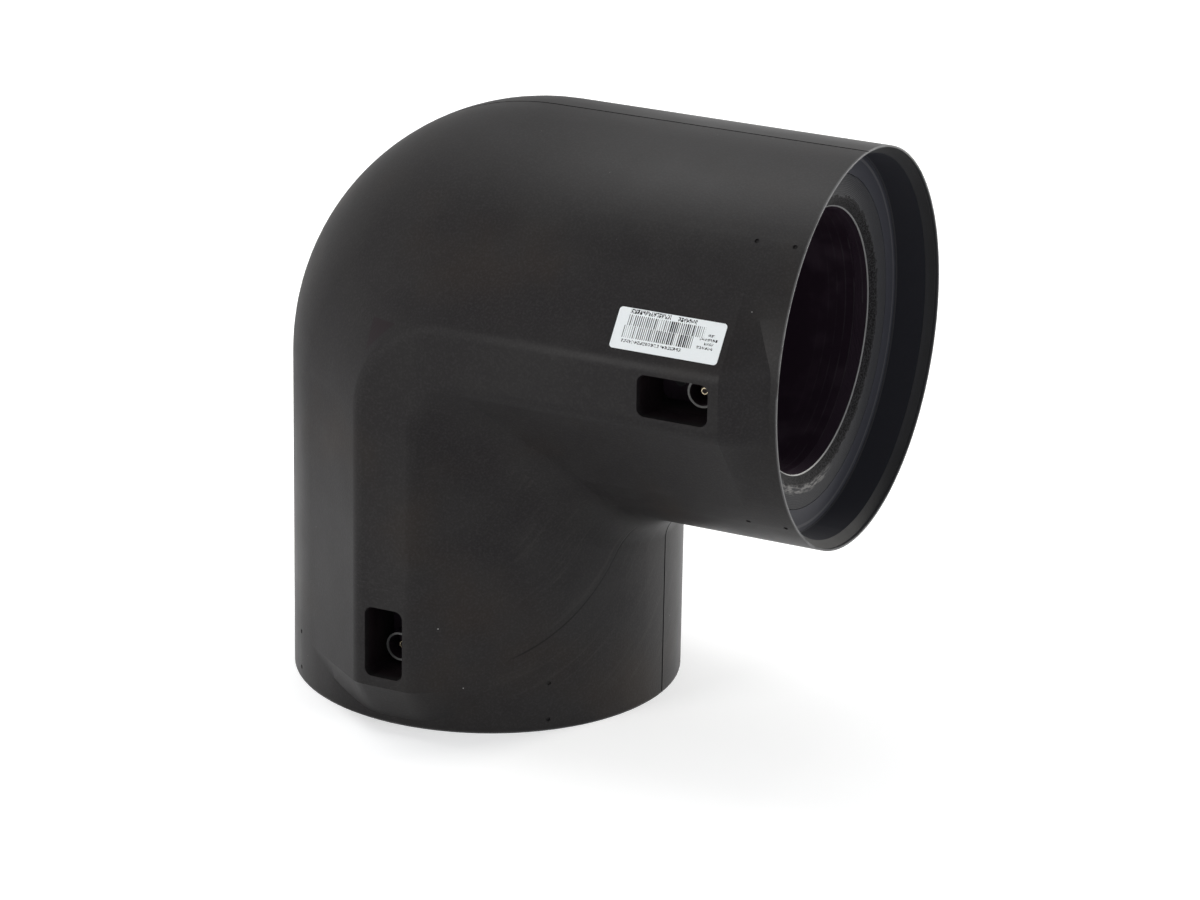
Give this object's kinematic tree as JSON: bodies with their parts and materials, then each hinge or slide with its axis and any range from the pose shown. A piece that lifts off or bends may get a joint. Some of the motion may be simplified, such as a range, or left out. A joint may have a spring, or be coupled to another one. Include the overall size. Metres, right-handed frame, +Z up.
{
  "type": "insulated pipe elbow",
  "caption": "Right-angle pipe fitting: a plastic elbow with a heated weld socket at each end, set in foam inside a round hard jacket with a raised pad and terminal windows.",
  "frame": {"origin": "centre of the lower rim, on the axis of the lower leg", "axes": "+Z up the lower leg towards the bend, +X out of the upper mouth, -Y the side with the raised pad"},
  "size_m": [0.254, 0.179, 0.254],
  "materials": {
    "jacket": "charcoal polyethylene, softly glossy, fine scratches",
    "foam": "rigid closed-cell foam",
    "polyethylene": "black pressure-pipe polyethylene, moulded and turned",
    "heating_wire": "wound resistance wire laid into the bore",
    "terminal": "turned brass",
    "indicator": "black polyethylene plug",
    "label": "white paper with plain printed bars"
  },
  "bodies": {
    "root": {"front_jacket_half": "jacket", "rear_jacket_half": "jacket", "insulation_foam": "foam", "electrofusion_elbow": "polyethylene", "lower_heating_coil": "heating_wire", "upper_heating_coil": "heating_wire", "coil_link_wire": "heating_wire", "lower_terminal_pin": "terminal", "upper_terminal_pin": "terminal", "lower_fusion_indicator": "indicator", "upper_fusion_indicator": "indicator", "barcode_label": "label"}
  },
  "joints": []
}
